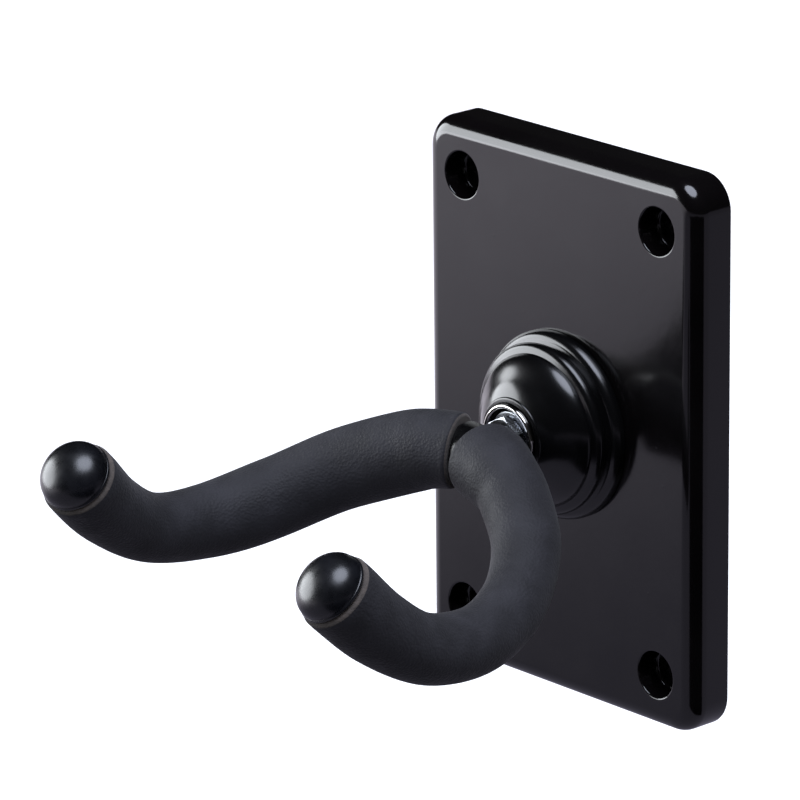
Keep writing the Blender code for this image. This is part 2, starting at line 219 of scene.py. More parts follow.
@dataclass(frozen=True)
class TurnedMetal(Finish):
    """Plated metal with the faint rings that turning left round the swivel's axis."""

    def height(self, tree: NodeTree, place: NodeSocket) -> NodeSocket:
        """Rings round the Y axis, grain_mm apart, along the radius and along the length."""
        flat = add_node(tree, "ShaderNodeVectorMath", {0: place, 1: (1.0, 0.0, 1.0)}, operation="MULTIPLY")
        radius = add_node(tree, "ShaderNodeVectorMath", {0: flat.outputs["Vector"]}, operation="LENGTH")
        axes = add_node(tree, "ShaderNodeSeparateXYZ", {"Vector": place})
        along = add_node(tree, "ShaderNodeMath",
                         {0: radius.outputs["Value"], 1: axes.outputs["Y"]}, operation="ADD")
        turns = add_node(tree, "ShaderNodeMath",
                         {0: along.outputs["Value"], 1: 1 / (self.grain_mm * MM)}, operation="MULTIPLY")
        rings = add_node(tree, "ShaderNodeTexNoise", {"W": turns.outputs["Value"], "Scale": 1.0},
                         noise_dimensions="1D")
        return rings.outputs["Fac"]


@dataclass(frozen=True)
class FoamSkin(Finish):
    """Closed-cell foam tube: a fine, dry skin of burst cells that glances light softly."""

    sheen: float = 0.2
    glance: float = 0.22

    def height(self, tree: NodeTree, place: NodeSocket) -> NodeSocket:
        """Fine cells over shallow lumps."""
        cells = add_node(tree, "ShaderNodeTexVoronoi", {"Vector": place, "Scale": 1 / (self.grain_mm * MM)})
        lumps = add_node(tree, "ShaderNodeTexNoise",
                         {"Vector": place, "Scale": 1 / (self.grain_mm * 4 * MM), "Detail": 4.0})
        both = add_node(tree, "ShaderNodeMath", {0: cells.outputs["Distance"], 1: lumps.outputs["Fac"]},
                        operation="ADD")
        return both.outputs["Value"]

    def extras(self, shader: Node) -> None:
        """A little sheen, as dry foam has at its edges."""
        shader.inputs["Sheen Weight"].default_value = self.sheen
        shader.inputs["Sheen Roughness"].default_value = 0.5
        shader.inputs["Specular IOR Level"].default_value = self.glance


# Sprayed and polished lacquer on a hardwood board: near black with a warm cast, and a soft gloss.
BLACK_LACQUER = SprayedLacquer("sprayed_black_lacquer", "black_lacquer", "#080607", "#0b090a", 0.11, 0.05,
                               patch_mm=30, grain_mm=2.4, grain_depth_mm=0.006)
# Polished moulded ABS: a neutral black that mirrors the lamps.
MOULDED_ABS = Finish("moulded_black_abs", "gloss_black_abs", "#050506", "#080809", 0.17, 0.05,
                     patch_mm=20, grain_mm=4.0, grain_depth_mm=0.012)
# Bright nickel on turned brass: a warm white metal with faint rings.
BRIGHT_NICKEL = TurnedMetal("turned_bright_nickel", "bright_nickel", "#d9d7d2", "#c9c6c0", 0.08, 0.06,
                            metallic=1.0, patch_mm=6, grain_mm=0.12, grain_depth_mm=0.003)
# Bright zinc on rolled and turned steel: a cooler, slightly duller metal.
ZINC_PLATE = TurnedMetal("bright_zinc_plate", "zinc_plated_steel", "#c3c6cb", "#a9acb0", 0.20, 0.12,
                         metallic=1.0, patch_mm=3, grain_mm=0.15, grain_depth_mm=0.004)
# Moulded nylon, dyed black: satin, with a fine spark-eroded texture.
BLACK_NYLON = Finish("moulded_black_nylon", "black_nylon", "#141414", "#1b1b1b", 0.42, 0.10,
                     patch_mm=4, grain_mm=0.25, grain_depth_mm=0.006)
# Natural nylon: milky and satin.
NATURAL_NYLON = Finish("moulded_natural_nylon", "natural_nylon", "#e1dccf", "#d3ccbb", 0.42, 0.10,
                       patch_mm=3, grain_mm=0.25, grain_depth_mm=0.006)
# Satin enamel dipped on steel rod: black, with soft runs.
DIPPED_ENAMEL = Finish("dipped_black_enamel", "black_painted_steel", "#060607", "#0a0a0b", 0.20, 0.10,
                       patch_mm=5, grain_mm=2.0, grain_depth_mm=0.02)
# Extruded closed-cell foam tube: near black with a faint blue cast. Cells are drawn coarse, to show.
FOAM_SKIN = FoamSkin("extruded_foam_skin", "black_foam", "#1d1d21", "#242429", 0.58, 0.12,
                     patch_mm=9, grain_mm=0.7, grain_depth_mm=0.12, sheen=0.05)
# The same foam where a knife cut it: open cells, a little paler and browner; its colour is also darkened as
# painted shade for the inner cut ends, which sit in shadow beside the knuckle.
CUT_FOAM = FoamSkin("knife_cut_foam", "black_foam", "#3a3634", "#48423f", 0.80, 0.10,
                    patch_mm=2, grain_mm=0.5, grain_depth_mm=0.10, sheen=0.1)
# Dip-moulded vinyl dome: wet black gloss over a slightly wavy surface.
MOULDED_VINYL = Finish("dip_moulded_vinyl", "gloss_black_cap", "#0a0b0e", "#101116", 0.24, 0.08,
                       patch_mm=6, grain_mm=3.0, grain_depth_mm=0.03)


# ==== Shapes ====


def arc(centre: tuple[float, float], radius: float, start: float, end: float, steps: int) -> Profile:
    """Points on an arc of a profile.

    Args:
        centre: The arc's centre, as (radius, forward).
        radius: The arc's own radius.
        start: Angle of the first point in degrees, from the direction of growing radius.
        end: Angle of the last point.
        steps: Number of straight steps.

    Returns:
        steps + 1 points.
    """
    angles = [math.radians(start + (end - start) * i / steps) for i in range(steps + 1)]
    return [(centre[0] + radius * math.cos(a), centre[1] + radius * math.sin(a)) for a in angles]


def bezier(start: tuple[float, float], handle_1: tuple[float, float], handle_2: tuple[float, float],
           end: tuple[float, float], steps: int) -> Profile:
    """Points on a Bezier stretch of a profile, both ends included."""
    knots = [Vector((*point, 0.0)) for point in (start, handle_1, handle_2, end)]
    return [(p.x, p.y) for p in interpolate_bezier(*knots, steps + 1)]


def rounded_ring(inner: float, outer: float, back: float, front: float, edge: float) -> Profile:
    """Closed profile of a ring whose outer edges are rounded and whose bore is broken at both ends.

    Args:
        inner: Bore radius.
        outer: Outer radius.
        back: Distance of the back face from the wall.
        front: Distance of the front face from the wall.
        edge: Radius of the outer edges.

    Returns:
        The profile's points.
    """
    broken = min(edge, 0.2 * MM)
    profile = [(inner, back + broken), (inner + broken, back)]
    profile += arc((outer - edge, back + edge), edge, -90, 0, 4)
    profile += arc((outer - edge, front - edge), edge, 0, 90, 4)
    return profile + [(inner + broken, front), (inner, front - broken)]


def spun(profile: Profile, steps: int, closed: bool = True) -> BMesh:
    """Spin a profile about the swivel's axis.

    Args:
        profile: (radius, forward) points.
        steps: Number of steps round.
        closed: Whether the last point joins the first. An open profile starts and ends on the axis.

    Returns:
        The turned solid.
    """
    bm = bmesh.new()
    points = [bm.verts.new((r, -forward, 0.0)) for r, forward in profile]
    edges = [bm.edges.new(pair) for pair in zip(points, points[1:])]
    if closed:
        edges.append(bm.edges.new((points[-1], points[0])))
    bmesh.ops.spin(bm, geom=points + edges, axis=(0, 1, 0), cent=(0, 0, 0), angle=math.tau,
                   steps=steps, use_merge=True)
    bmesh.ops.remove_doubles(bm, verts=bm.verts, dist=1e-7)
    return bm


def moved(bm: BMesh, matrix: Matrix) -> BMesh:
    """Move a whole bmesh by a matrix and give it back."""
    bmesh.ops.transform(bm, matrix=matrix, verts=bm.verts)
    return bm


def rounded(bm: BMesh, edges: Sequence[BMEdge], radius: float, steps: int) -> None:
    """Round some edges of a bmesh."""
    bmesh.ops.bevel(bm, geom=list(edges), offset=radius, segments=steps, profile=0.5,
                    affect="EDGES", material=-1)


def new_object(name: str, bm: BMesh, sharp: float = 35.0) -> Object:
    """Make a smooth-shaded object of a bmesh, with its place in its mesh.

    Args:
        name: The object's name.
        bm: The bmesh, which is freed.
        sharp: Faces that meet at more than this angle, in degrees, keep a crisp edge.

    Returns:
        The new object, at the origin.
    """
    bmesh.ops.remove_doubles(bm, verts=bm.verts, dist=1e-7)
    bmesh.ops.recalc_face_normals(bm, faces=bm.faces)
    mesh = bpy.data.meshes.new(name)
    bm.to_mesh(mesh)
    bm.free()
    mesh.shade_smooth()
    mesh.set_sharp_from_angle(angle=math.radians(sharp))
    obj = bpy.data.objects.new(name, mesh)
    bpy.context.scene.collection.objects.link(obj)
    return obj


def carve(obj: Object, tools: Sequence[BMesh], operation: str = "DIFFERENCE", sharp: float = 35.0) -> None:
    """Cut an object with tools, or keep what they share, for good.

    Args:
        obj: The object to cut.
        tools: The cutting solids, which are freed.
        operation: The Boolean operation's name.
        sharp: Angle in degrees above which an edge of the result is crisp.
    """
    cutters = [new_object(f"cutter_{i}", tool) for i, tool in enumerate(tools)]
    for cutter in cutters:
        boolean = obj.modifiers.new(cutter.name, "BOOLEAN")
        boolean.operation = operation
        boolean.solver = "EXACT"
        boolean.object = cutter
    solid = bpy.data.meshes.new_from_object(obj.evaluated_get(bpy.context.evaluated_depsgraph_get()))
    obj.modifiers.clear()
    obj.data = solid
    for cutter in cutters:
        bpy.data.objects.remove(cutter, do_unlink=True)
    solid.shade_smooth()
    solid.set_sharp_from_angle(angle=math.radians(sharp))


def weigh_normals(obj: Object) -> None:
    """Keep large flat faces flat beside rounded edges."""
    weighted = obj.modifiers.new("flat_faces", "WEIGHTED_NORMAL")
    weighted.mode = "FACE_AREA"
    weighted.weight = 60
    weighted.keep_sharp = True


def dress(obj: Object, body: Body, finishes: Sequence[Finish], node: str | None = None) -> Object:
    """Give a piece its finishes and its place in the hanger.

    Args:
        obj: The finished shape.
        body: The body that it rides on.
        finishes: Its finishes, in the order of its faces' material numbers.
        node: The frame's node that it stands for.

    Returns:
        The piece.
    """
    for finish in finishes:
        obj.data.materials.append(finish.material())
    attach(obj, body.value)
    if node:
        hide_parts(node)
    triangles = sum(len(face.vertices) - 2 for face in obj.data.polygons)
    log.info("%s: %d triangles, rides on %s", obj.name, triangles, body.value)
    return obj


# ==== Back plate ====


@dataclass
class BackPlate:
    """Lacquered board with a large roundover, four counterbored holes and a recess in its back."""

    corner_r: float = 9 * MM
    roundover_r: float = 4.8 * MM
    back_edge_r: float = 0.5 * MM
    screw_x: float = 35.9 * MM
    screw_z: float = 59.2 * MM
    head_r: float = 6.2 * MM
    head_depth: float = 6.8 * MM
    shank_r: float = 2.6 * MM
    lip_r: float = 0.5 * MM
    recess_r: float = 11.5 * MM
    recess_depth: float = 9.2 * MM
    bore_r: float = 5.9 * MM
    low: Vector = field(default_factory=lambda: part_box("back_plate")[0])
    high: Vector = field(default_factory=lambda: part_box("back_plate")[1])

    @property
    def depth(self) -> float:
        """Distance of the front face from the wall."""
        return -self.low.y

    def board(self) -> BMesh:
        """The board with its rounded corners, roundover and broken back edge."""
        bm = bmesh.new()
        size = self.high - self.low
        place = Matrix.Translation((self.high + self.low) / 2) @ Matrix.Diagonal((*size, 1.0))
        bmesh.ops.create_cube(bm, size=1.0, matrix=place)
        upright = [e for e in bm.edges if abs(e.verts[0].co.y - e.verts[1].co.y) > size.y / 2]
        rounded(bm, upright, self.corner_r, 12)
        front = [e for e in bm.edges if all(abs(v.co.y - self.low.y) < 1e-6 for v in e.verts)]
        rounded(bm, front, self.roundover_r, 10)
        back = [e for e in bm.edges if all(abs(v.co.y - self.high.y) < 1e-6 for v in e.verts)]
        rounded(bm, back, self.back_edge_r, 2)
        return bm

    def screw_hole(self, x: float, z: float) -> BMesh:
        """Cutter for one counterbored hole whose mouth is slightly rounded by sanding."""
        over = 1 * MM
        floor = self.depth - self.head_depth
        bottom_r = 1.0 * MM
        profile = [(0.0, -over), (self.shank_r, -over), (self.shank_r, floor)]
        profile += arc((self.head_r - bottom_r, floor + bottom_r), bottom_r, -90, 0, 4)
        profile += arc((self.head_r + self.lip_r, self.depth - self.lip_r), self.lip_r, 180, 90, 5)
        profile += [(self.head_r + self.lip_r, self.depth + over), (0.0, self.depth + over)]
        return moved(spun(profile, 64, closed=False), Matrix.Translation((x, 0, z)))

    def swivel_bore(self) -> BMesh:
        """Cutter for the rear recess and the bore of the bushes."""
        over = 1 * MM
        corner = 0.5 * MM
        profile = [(0.0, -over), (self.recess_r, -over)]
        profile += arc((self.recess_r - corner, self.recess_depth - corner), corner, 0, 90, 4)
        far = self.depth + over
        profile += [(self.bore_r, self.recess_depth), (self.bore_r, far), (0.0, far)]
        return spun(profile, 72, closed=False)

    def build(self) -> Object:
        """Make the board, drill it and lacquer it."""
        plate = new_object("lacquered_plate", self.board())
        holes = [self.screw_hole(sx * self.screw_x, sz * self.screw_z) for sx in (-1, 1) for sz in (-1, 1)]
        carve(plate, [*holes, self.swivel_bore()], sharp=40)
        weigh_normals(plate)
        return dress(plate, Body.BASE, [BLACK_LACQUER], "back_plate")


# ==== Boss ====


@dataclass
class Boss:
    """Turned boss round the swivel: foot ring, bead, dome and neck, with a bright ferrule in its mouth.

    Forward distances are from the plate's face.
    """

    face: float
    foot_r: float = 25 * MM
    foot_round: float = 2.4 * MM
    bead_r: float = 22.7 * MM
    bead_round: float = 1.75 * MM
    dome_r: float = 20.3 * MM
    neck_r: float = 10.7 * MM
    length: float = 16.9 * MM
    bore_r: float = 5.9 * MM
    ferrule_r: float = 9.1 * MM
    mouth_r: float = 7.9 * MM
    seat: float = 14.3 * MM
    lip: float = 18.2 * MM
    turn_steps: int = 128

    def off_wall(self, profile: Profile) -> Profile:
        """Change distances from the face into distances from the wall."""
        return [(r, forward + self.face) for r, forward in profile]

    def outside(self) -> Profile:
        """The boss's outline from its foot to the lip of its neck."""
        foot = arc((self.foot_r - self.foot_round, GAP + 0.7 * MM), self.foot_round, 0, 90, 10)
        bead_centre = (self.bead_r - self.bead_round, foot[-1][1] + self.bead_round + 0.6 * MM)
        bead = arc(bead_centre, self.bead_round, -70, 85, 12)
        shoulder = (14.4 * MM, 14.0 * MM)
        neck = (self.neck_r, self.length - 0.6 * MM)
        dome = bezier((self.dome_r, bead[-1][1] + 0.2 * MM), (self.dome_r, 9.9 * MM), (16.6 * MM, 12.2 * MM),
                      shoulder, 20)
        throat = bezier(shoulder, (13.2 * MM, 15.0 * MM), (12.0 * MM, 15.7 * MM), neck, 12)
        return foot + bead + dome + throat[1:] + arc((neck[0] - 0.5 * MM, neck[1]), 0.5 * MM, 20, 90, 4)

    def cover(self) -> Object:
        """The moulded boss itself."""
        mouth = self.ferrule_r + GAP
        seat = self.seat - 1.1 * MM
        bore = [(mouth, self.length), (mouth, seat), (self.bore_r, seat), (self.bore_r, GAP)]
        profile = self.off_wall([(self.foot_r, GAP), *self.outside(), *bore])
        piece = new_object("moulded_boss", spun(profile, self.turn_steps), sharp=50)
        return dress(piece, Body.BASE, [MOULDED_ABS], "boss_cover")

    def ferrule(self) -> Object:
        """The bright ring let into the boss's mouth."""
        back = self.seat - 0.8 * MM
        lip_r = (self.ferrule_r - self.mouth_r) / 2
        lip = arc((self.ferrule_r - lip_r, self.lip - lip_r), lip_r, 0, 180, 14)
        seat = [(self.mouth_r, self.seat + 0.3 * MM), (self.mouth_r - 0.3 * MM, self.seat),
                (self.bore_r, self.seat), (self.bore_r, back)]
        profile = self.off_wall([(self.ferrule_r, back), *lip, *seat])
        piece = new_object("nickel_ferrule", spun(profile, self.turn_steps), sharp=50)
        return dress(piece, Body.BASE, [BRIGHT_NICKEL], "mouth_ferrule")

    def build(self) -> list[Object]:
        """Make the boss and its ferrule."""
        return [self.cover(), self.ferrule()]


# ==== Swivel ====


@dataclass
class Swivel:
    """Stem, bushes, washers and nuts that hold the yoke to the plate and let it turn."""

    pitch: float = 1.27 * MM
    thread_depth: float = 0.6 * MM
    nut_flats: float = 11.1 * MM
    tube_r: float = 5.6 * MM
    flange_edge: float = 0.25 * MM
    small_steps: int = 64

    def span(self, node: str) -> tuple[float, float, float]:
        """Back and front distances from the wall, and outer radius, of one of the frame's nodes."""
        low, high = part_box(node)
        return -high.y, -low.y, (high.x - low.x) / 2

    @property
    def stem_r(self) -> float:
        """Radius of the stem over its thread."""
        return self.span("swivel_stem")[2]

    @property
    def bore_r(self) -> float:
        """Bore of everything that sits on the stem."""
        return self.stem_r + GAP

    def flange(self, outer: float, back: float, front: float) -> Profile:
        """Rounded outer edge of a bush's flange."""
        middle = outer - self.flange_edge
        return (arc((middle, back + self.flange_edge), self.flange_edge, -90, 0, 3)
                + arc((middle, front - self.flange_edge), self.flange_edge, 0, 90, 3))

    def front_bush(self) -> Object:
        """Flanged bush in the boss."""
        back, front, flange_r = self.span("front_bush")
        lead_in = 0.3 * MM
        rim = front - 1 * MM
        profile = [(self.bore_r, back), (self.tube_r - lead_in, back), (self.tube_r, back + lead_in),
                   (self.tube_r, rim), *self.flange(flange_r, rim, front), (self.bore_r, front)]
        piece = new_object("front_nylon_bush", spun(profile, self.small_steps))
        return dress(piece, Body.BASE, [BLACK_NYLON], "front_bush")

    def rear_bush(self) -> Object:
        """Flanged bush let into the plate from behind."""
        back, front, flange_r = self.span("rear_bush")
        rim = back + 0.8 * MM
        profile = [(self.bore_r, back), *self.flange(flange_r, back, rim),
                   (self.tube_r, rim), (self.tube_r, front), (self.bore_r, front)]
        piece = new_object("rear_nylon_bush", spun(profile, self.small_steps))
        return dress(piece, Body.BASE, [BLACK_NYLON], "rear_bush")

    def washer(self, node: str, name: str, body: Body) -> Object:
        """Plain stamped washer with a rolled edge."""
        back, front, outer = self.span(node)
        profile = rounded_ring(self.bore_r, outer, back, front, 0.25 * MM)
        return dress(new_object(name, spun(profile, self.small_steps)), body, [ZINC_PLATE], node)

    def spring_washer(self) -> Object:
        """Split ring whose ends stand apart along the stem."""
        back, front, outer = self.span("spring_washer")
        rise = 0.4 * MM
        edge = 0.12 * MM
        split = math.radians(12)
        bm = bmesh.new()
        section = [(self.bore_r + edge, back), (outer - edge, back), (outer, back + edge),
                   (outer, front - rise - edge), (outer - edge, front - rise),
                   (self.bore_r + edge, front - rise), (self.bore_r, front - rise - edge),
                   (self.bore_r, back + edge)]
        start = bm.faces.new([bm.verts.new((r, -forward - rise, 0.0)) for r, forward in section])
        bmesh.ops.spin(bm, geom=[start], axis=(0, 1, 0), cent=(0, 0, 0), angle=math.tau - split,
                       steps=self.small_steps, dvec=(0, rise / self.small_steps, 0))
        return dress(new_object("split_spring_washer", bm), Body.YOKE, [ZINC_PLATE], "spring_washer")

    def nut(self, node: str, name: str, socket: tuple[float, float] | None = None) -> Object:
        """Hexagonal nut with its corners turned off on both faces.

        Args:
            node: The frame's node that it stands for.
            name: The piece's name.
            socket: Radius and depth of a socket in its back face, for a locking insert.

        Returns:
            The nut.
        """
        low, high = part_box(node)
        back, front = -high.y, -low.y
        corner_r = self.nut_flats / math.sqrt(3)
        bm = bmesh.new()
        bmesh.ops.create_cone(bm, cap_ends=True, segments=6, radius1=corner_r, radius2=corner_r,
                              depth=front - back)
        place = (Matrix.Rotation(yoke_tilt(), 4, "Y") @ Matrix.Translation((0, -(back + front) / 2, 0))
                 @ Matrix.Rotation(math.pi / 2, 4, "X"))
        nut = new_object(name, moved(bm, place))
        over = 1 * MM
        face_r = self.nut_flats / 2 - 0.1 * MM
        slope = math.tan(math.radians(30))
        drop = (corner_r + over - face_r) * slope
        blank = [(0.0, back), (face_r, back), (corner_r + over, back + drop),
                 (corner_r + over, front - drop), (face_r, front), (0.0, front)]
        if front - back < 2 * drop:
            middle = (back + front) / 2
            reach = face_r + (middle - back) / slope
            blank = [(0.0, back), (face_r, back), (reach, middle), (face_r, front), (0.0, front)]
        carve(nut, [spun(blank, 96, closed=False)], "INTERSECT")
        sink = 0.4 * MM
        hole = [(0.0, back - over), (self.bore_r + sink + over, back - over), (self.bore_r, back + sink),
                (self.bore_r, front - sink), (self.bore_r + sink + over, front + over), (0.0, front + over)]
        if socket:
            hole[1:3] = [(socket[0], back - over), (socket[0], back + socket[1]),
                         (self.bore_r, back + socket[1])]
        carve(nut, [spun(hole, self.small_steps, closed=False)])
        weigh_normals(nut)
        return dress(nut, Body.YOKE, [ZINC_PLATE], node)

    def insert(self) -> Object:
        """Nylon ring that locks the rear nut."""
        back, front, outer = self.span("lock_nut_insert")
        profile = rounded_ring(self.bore_r, outer, back, front, 0.15 * MM)
        piece = new_object("nylon_lock_ring", spun(profile, self.small_steps))
        return dress(piece, Body.YOKE, [NATURAL_NYLON], "lock_nut_insert")

    def stem(self) -> Object:
        """Stem with a rolled 1/4 in thread: a core and the ridge that winds round it."""
        back, front, outer = self.span("swivel_stem")
        root = outer - self.thread_depth
        point = 0.7 * MM
        core = [(0.0, back), (root - point, back), (root, back + point), (root, front), (0.0, front)]
        bm = spun(core, self.small_steps, closed=False)
        half = self.pitch * 0.42
        turns = int((front - back - 2 * point) / self.pitch)
        steps = 32
        start = back + point + half
        crest = self.pitch * 0.08
        sunk = root - 0.05 * MM
        section = [(sunk, start - half), (outer, start - crest),
                   (outer, start + crest), (sunk, start + half)]
        face = bm.faces.new([bm.verts.new((r, -forward, 0.0)) for r, forward in section])
        bmesh.ops.spin(bm, geom=[face], axis=(0, 1, 0), cent=(0, 0, 0), angle=math.tau * turns,
                       steps=steps * turns, dvec=(0, -self.pitch / steps, 0))
        return dress(new_object("threaded_stem", bm, sharp=28), Body.YOKE, [ZINC_PLATE], "swivel_stem")

    def build(self) -> list[Object]:
        """Make every piece of the stack, from the back to the front."""
        return [
            self.nut("lock_nut", "rear_lock_nut", (4.7 * MM, 1.4 * MM)),
            self.insert(),
            self.spring_washer(),
            self.washer("rear_washer", "rear_flat_washer", Body.BASE),
            self.rear_bush(),
            self.front_bush(),
            self.washer("thrust_washer", "front_thrust_washer", Body.YOKE),
            self.nut("jam_nut", "front_jam_nut"),
            self.stem(),
        ]


# ==== Yoke ====


def yoke_tilt() -> float:
    """How far the yoke stands round on its swivel, read from where its two caps are."""
    left, right = (sum(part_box(f"{side.word}_end_cap"), Vector()) / 2 for side in (Side.LEFT, Side.RIGHT))
    return math.atan2(left.z - right.z, right.x - left.x)


@dataclass
class Arm:
    """One arm of the yoke's centre line, in the yoke's own level frame.

    The stations are (sideways, forward of the plate's face, upward) in millimetres, from the knuckle
    to the cut end of the foam.
    """

    side: Side
    face: float
    drop: float = 1.6 * MM
    start_forward: float = 29.4 * MM
    cut_angle: float = math.radians(24)
    stations_mm: tuple[tuple[float, float, float], ...] = (
        (4.9, 29.7, -1.9),
        (13.0, 32.0, -3.2),
        (21.0, 34.8, -6.0),
        (34.9, 43.6, -12.6),
        (45.3, 57.0, -20.1),
        (51.2, 74.4, -24.0),
        (52.1, 92.8, -21.7),
        (50.8, 107.7, -12.7),
        (48.4, 120.1, -0.6),
    )

    def middle(self) -> Vector:
        """The rod's middle, on the stem's line."""
        return Vector((0.0, -(self.face + self.start_forward), -self.drop))

    def points(self) -> list[Vector]:
        """The stations as places."""
        return [Vector((self.side.value * x * MM, -(self.face + f * MM), z * MM))
                for x, f, z in self.stations_mm]

    def path(self, steps: int) -> list[Vector]:
        """A smooth line through the stations.

        Args:
            steps: Number of steps between one station and the next.

        Returns:
            The line's points, from the knuckle outwards.
        """
        stations = self.points()
        knots = [self.middle(), *stations, stations[-1] * 2 - stations[-2]]
        line: list[Vector] = []
        for before, start, end, after in zip(knots, knots[1:], knots[2:], knots[3:]):
            handle_1 = start + (end - before) / 6
            handle_2 = end - (after - start) / 6
            line += interpolate_bezier(start, handle_1, handle_2, end, steps + 1)[:-1]
        return line + [stations[-1]]

    def inner_cut(self) -> Vector:
        """Direction square to the cut at the foam's inner end, away from the knuckle."""
        return Vector((self.side.value * math.cos(self.cut_angle), -math.sin(self.cut_angle), 0.0))

    def tip(self) -> Vector:
        """Direction in which the rod leaves the foam."""
        stations = self.points()
        return (stations[-1] - stations[-2]).normalized()


def cross_frames(line: Sequence[Vector], first: Vector, last: Vector, ease: float = MM) -> list[Matrix]:
    """Steady frames along a line, each with its Z axis along the line.

    Args:
        line: The line's points.
        first: Direction at the first point.
        last: Direction at the last point.
        ease: Length over which the first direction turns into the line's own.

    Returns:
        One placing matrix for each point.
    """
    directions = [first]
    travelled = 0.0
    for before, here, after in zip(line, line[1:], line[2:]):
        travelled += (here - before).length
        share = min(1.0, travelled / ease)
        directions.append(first.lerp((after - before).normalized(), share).normalized())
    directions.append(last)
    up = Vector((0, 0, 1))
    placed = []
    for point, direction in zip(line, directions):
        up = (up - direction * up.dot(direction)).normalized()
        side = up.cross(direction)
        turn = Matrix((side, up, direction)).transposed().to_4x4()
        placed.append(Matrix.Translation(point) @ turn)
    return placed


def swept(rings: Rings, sides: int, closed: bool) -> BMesh:
    """Sweep a circle through a row of frames by extruding its rim from one to the next.

    Args:
        rings: The frame and the radius of each ring.
        sides: Number of sides of the circle.
        closed: Whether the last ring joins the first. Otherwise both ends are filled.

    Returns:
        The swept solid.
    """
    bm = bmesh.new()
    (place, radius), *rest = rings
    rim = bmesh.ops.create_circle(bm, cap_ends=not closed, segments=sides, radius=radius,
                                  matrix=place)["verts"]
    first_edges = [e for e in bm.edges if e.verts[0] in set(rim) and e.verts[1] in set(rim)]
    edges = first_edges
    for next_place, next_radius in rest:
        grown = bmesh.ops.extrude_edge_only(bm, edges=edges)["geom"]
        rim = [item for item in grown if isinstance(item, BMVert)]
        edges = [item for item in grown if isinstance(item, BMEdge)]
        step = next_place @ Matrix.Scale(next_radius / radius, 4) @ place.inverted()
        bmesh.ops.transform(bm, matrix=step, verts=rim)
        place, radius = next_place, next_radius
    if closed:
        bmesh.ops.bridge_loops(bm, edges=[*edges, *first_edges])
    else:
        bmesh.ops.contextual_create(bm, geom=edges)
    return bm


@dataclass
class Yoke:
    """Bent steel rod and the knuckle that joins it to the stem."""

    arms: dict[Side, Arm]
    rod_r: float = 4.75 * MM
    rod_tip: float = 5.2 * MM
    knuckle_r: float = 8.0 * MM
    knuckle_half: float = 4.2 * MM
    knuckle_bore: float = 5.25 * MM
    knuckle_gap: float = 0.4 * MM
    stem_r: float = 3.2 * MM

    @property
    def tilt(self) -> Matrix:
        """Turn from the yoke's level frame to where it stands."""
        return Matrix.Rotation(yoke_tilt(), 4, "Y")

    def rod(self) -> Object:
        """The whole rod, from tip to tip."""
        left, right = self.arms[Side.LEFT], self.arms[Side.RIGHT]
        line: list[Vector] = []
        for arm in (left, right):
            half = [*arm.path(8), arm.points()[-1] + arm.tip() * self.rod_tip]
            line = half[::-1] + [arm.middle()] if arm is left else line + half
        frames = cross_frames(line, -left.tip(), right.tip())
        rings = [(place, self.rod_r) for place in frames]
        chamfer = 0.6 * MM
        rings.insert(0, (frames[0], self.rod_r - chamfer))
        rings[1] = (Matrix.Translation(-left.tip() * chamfer) @ frames[0], self.rod_r)
        rings[-1] = (Matrix.Translation(-right.tip() * chamfer) @ frames[-1], self.rod_r)
        rings.append((frames[-1], self.rod_r - chamfer))
        bm = moved(swept(rings, 32, closed=False), self.tilt)
        return dress(new_object("bent_steel_rod", bm), Body.YOKE, [DIPPED_ENAMEL], "yoke_rod")

    def knuckle(self) -> Object:
        """Wedge-sided barrel round the rod's middle, bored across for the stem."""
        edge = 1.2 * MM
        bore = self.knuckle_bore
        half = self.knuckle_half
        profile = [(bore, half - 0.3 * MM), (bore + 0.3 * MM, half)]
        profile += arc((self.knuckle_r - edge, half - edge), edge, 90, 0, 6)
        profile += arc((self.knuckle_r - edge, edge - half), edge, 0, -90, 6)
        profile += [(bore + 0.3 * MM, -half), (bore, 0.3 * MM - half)]
        barrel = spun(profile, 72)
        middle = self.arms[Side.LEFT].middle()
        barrel = moved(barrel, Matrix.Translation(middle) @ Matrix.Rotation(math.pi / 2, 4, "Z"))
        knuckle = new_object("rod_knuckle", moved(barrel, self.tilt))
        hole_r = self.stem_r + GAP
        face = -middle.y - self.knuckle_r
        hole = [(0.0, face - 1 * MM), (hole_r, face - 1 * MM), (hole_r, -middle.y), (0.0, -middle.y)]
        carve(knuckle, [spun(hole, 48, closed=False), *(self.side_block(arm) for arm in self.arms.values())])
        weigh_normals(knuckle)
        return dress(knuckle, Body.YOKE, [DIPPED_ENAMEL], "yoke_knuckle")

    def side_block(self, arm: Arm) -> BMesh:
        """Cutter that makes one side of the knuckle follow the sleeve's inner end."""
        block = bmesh.new()
        size = 30 * MM
        bmesh.ops.create_cube(block, size=size)
        normal = arm.inner_cut()
        middle = arm.points()[0] + normal * (size / 2 - self.knuckle_gap)
        turn = Vector((1, 0, 0)).rotation_difference(normal).to_matrix().to_4x4()
        return moved(block, self.tilt @ Matrix.Translation(middle) @ turn)

    def build(self) -> list[Object]:
        """Make the rod and its knuckle."""
        return [self.rod(), self.knuckle()]


